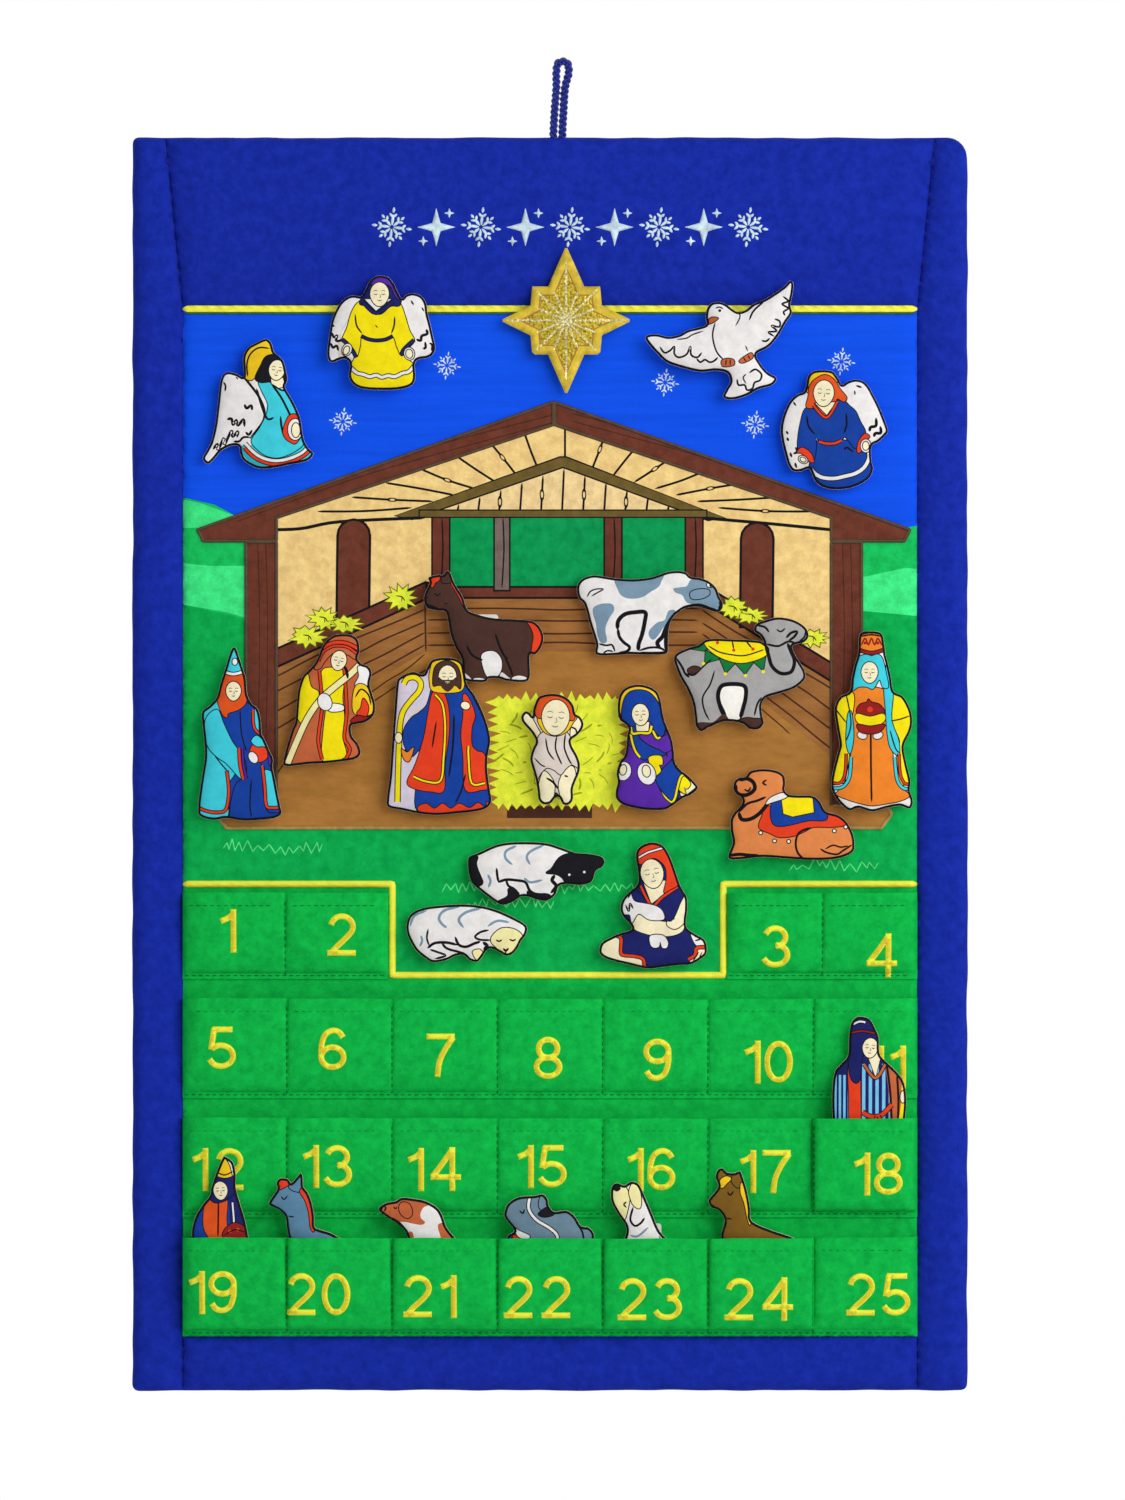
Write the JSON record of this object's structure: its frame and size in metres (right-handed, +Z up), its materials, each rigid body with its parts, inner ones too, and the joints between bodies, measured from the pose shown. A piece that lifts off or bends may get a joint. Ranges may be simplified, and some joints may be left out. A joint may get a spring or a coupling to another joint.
{
  "type": "hanging cloth advent calendar",
  "caption": "Padded cloth hanging panel with a stitched stable scene, numbered pockets below it, stuffed figures that lift off or stand in the pockets, and a cord loop.",
  "frame": {"origin": "the nail's bearing point, inside the top of the hanging loop", "axes": "+X to the right as seen from the front, +Y from the front to the wall, +Z up"},
  "size_m": [0.432, 0.0254, 0.6888],
  "materials": {
    "royal_blue_cloth": "matt woven cotton",
    "back_cloth": "matt woven cotton",
    "sky_blue_cloth": "matt woven cotton with a slight sheen",
    "pocket_green_cloth": "matt woven cotton",
    "wall_cream_cloth": "matt printed cotton",
    "timber_brown_cloth": "matt brushed cotton",
    "floor_brown_cloth": "matt printed cotton",
    "yellow_trim": "satin stitched cord",
    "gold_thread": "metallic embroidery",
    "blue_cord": "braided cord",
    "pale_wood": "plain dowel",
    "white_wadding": "polyester wadding",
    "printed_calico": "printed calico over stuffing"
  },
  "bodies": {
    "panel": {"left_border": "royal_blue_cloth", "right_border": "royal_blue_cloth", "header_panel": "royal_blue_cloth", "bottom_border": "royal_blue_cloth", "back_panel": "back_cloth", "scene_cloth": "sky_blue_cloth", "pocket_ground": "pocket_green_cloth", "stiffening_rod": "pale_wood", "rod_sleeve": "white_wadding", "wadding": "white_wadding", "hanging_loop": "blue_cord", "header_trim": "yellow_trim", "pocket_trim": "yellow_trim", "roof_left": "timber_brown_cloth", "roof_right": "timber_brown_cloth", "post_left": "timber_brown_cloth", "post_right": "timber_brown_cloth", "stable_wall": "wall_cream_cloth", "stable_floor": "floor_brown_cloth", "pocket_row_1_left": "pocket_green_cloth", "pocket_row_1_right": "pocket_green_cloth", "pocket_row_2": "pocket_green_cloth", "pocket_row_3": "pocket_green_cloth", "pocket_row_4": "pocket_green_cloth"},
    "star_body": {"star": "gold_thread"},
    "angel_yellow_body": {"angel_yellow": "printed_calico"},
    "angel_turquoise_body": {"angel_turquoise": "printed_calico"},
    "angel_blue_body": {"angel_blue": "printed_calico"},
    "dove_body": {"dove": "printed_calico"},
    "donkey_brown_body": {"donkey_brown": "printed_calico"},
    "cow_body": {"cow": "printed_calico"},
    "camel_grey_body": {"camel_grey": "printed_calico"},
    "camel_resting_body": {"camel_resting": "printed_calico"},
    "king_turquoise_body": {"king_turquoise": "printed_calico"},
    "king_orange_body": {"king_orange": "printed_calico"},
    "shepherd_lantern_body": {"shepherd_lantern": "printed_calico"},
    "shepherd_boy_body": {"shepherd_boy": "printed_calico"},
    "father_figure_body": {"father_figure": "printed_calico"},
    "mother_figure_body": {"mother_figure": "printed_calico"},
    "infant_figure_body": {"infant_figure": "printed_calico"},
    "sheep_black_face_body": {"sheep_black_face": "printed_calico"},
    "sheep_white_body": {"sheep_white": "printed_calico"},
    "shepherd_striped_body": {"shepherd_striped": "printed_calico"},
    "king_crowned_body": {"king_crowned": "printed_calico"},
    "donkey_blue_body": {"donkey_blue": "printed_calico"},
    "calf_patched_body": {"calf_patched": "printed_calico"},
    "camel_saddled_body": {"camel_saddled": "printed_calico"},
    "sheep_cream_face_body": {"sheep_cream_face": "printed_calico"},
    "donkey_dark_body": {"donkey_dark": "printed_calico"}
  },
  "joints": [
    {"name": "star_off", "type": "slide", "parent": "panel", "child": "star_body", "axis": [0, -1, 0], "range_m": [0, 0.03]},
    {"name": "angel_yellow_off", "type": "slide", "parent": "panel", "child": "angel_yellow_body", "axis": [0, -1, 0], "range_m": [0, 0.03]},
    {"name": "angel_turquoise_off", "type": "slide", "parent": "panel", "child": "angel_turquoise_body", "axis": [0, -1, 0], "range_m": [0, 0.03]},
    {"name": "angel_blue_off", "type": "slide", "parent": "panel", "child": "angel_blue_body", "axis": [0, -1, 0], "range_m": [0, 0.03]},
    {"name": "dove_off", "type": "slide", "parent": "panel", "child": "dove_body", "axis": [0, -1, 0], "range_m": [0, 0.03]},
    {"name": "donkey_brown_off", "type": "slide", "parent": "panel", "child": "donkey_brown_body", "axis": [0, -1, 0], "range_m": [0, 0.03]},
    {"name": "cow_off", "type": "slide", "parent": "panel", "child": "cow_body", "axis": [0, -1, 0], "range_m": [0, 0.03]},
    {"name": "camel_grey_off", "type": "slide", "parent": "panel", "child": "camel_grey_body", "axis": [0, -1, 0], "range_m": [0, 0.03]},
    {"name": "camel_resting_off", "type": "slide", "parent": "panel", "child": "camel_resting_body", "axis": [0, -1, 0], "range_m": [0, 0.03]},
    {"name": "king_turquoise_off", "type": "slide", "parent": "panel", "child": "king_turquoise_body", "axis": [0, -1, 0], "range_m": [0, 0.03]},
    {"name": "king_orange_off", "type": "slide", "parent": "panel", "child": "king_orange_body", "axis": [0, -1, 0], "range_m": [0, 0.03]},
    {"name": "shepherd_lantern_off", "type": "slide", "parent": "panel", "child": "shepherd_lantern_body", "axis": [0, -1, 0], "range_m": [0, 0.03]},
    {"name": "shepherd_boy_off", "type": "slide", "parent": "panel", "child": "shepherd_boy_body", "axis": [0, -1, 0], "range_m": [0, 0.03]},
    {"name": "father_figure_off", "type": "slide", "parent": "panel", "child": "father_figure_body", "axis": [0, -1, 0], "range_m": [0, 0.03]},
    {"name": "mother_figure_off", "type": "slide", "parent": "panel", "child": "mother_figure_body", "axis": [0, -1, 0], "range_m": [0, 0.03]},
    {"name": "infant_figure_off", "type": "slide", "parent": "panel", "child": "infant_figure_body", "axis": [0, -1, 0], "range_m": [0, 0.03]},
    {"name": "sheep_black_face_off", "type": "slide", "parent": "panel", "child": "sheep_black_face_body", "axis": [0, -1, 0], "range_m": [0, 0.03]},
    {"name": "sheep_white_off", "type": "slide", "parent": "panel", "child": "sheep_white_body", "axis": [0, -1, 0], "range_m": [0, 0.03]},
    {"name": "shepherd_striped_lift", "type": "slide", "parent": "panel", "child": "shepherd_striped_body", "axis": [0, -0.1045, 0.9945], "range_m": [0, 0.08]},
    {"name": "king_crowned_lift", "type": "slide", "parent": "panel", "child": "king_crowned_body", "axis": [0, -0.1045, 0.9945], "range_m": [0, 0.08]},
    {"name": "donkey_blue_lift", "type": "slide", "parent": "panel", "child": "donkey_blue_body", "axis": [0, -0.1045, 0.9945], "range_m": [0, 0.08]},
    {"name": "calf_patched_lift", "type": "slide", "parent": "panel", "child": "calf_patched_body", "axis": [0, -0.1045, 0.9945], "range_m": [0, 0.08]},
    {"name": "camel_saddled_lift", "type": "slide", "parent": "panel", "child": "camel_saddled_body", "axis": [0, -0.1045, 0.9945], "range_m": [0, 0.08]},
    {"name": "sheep_cream_face_lift", "type": "slide", "parent": "panel", "child": "sheep_cream_face_body", "axis": [0, -0.1045, 0.9945], "range_m": [0, 0.08]},
    {"name": "donkey_dark_lift", "type": "slide", "parent": "panel", "child": "donkey_dark_body", "axis": [0, -0.1045, 0.9945], "range_m": [0, 0.08]}
  ]
}
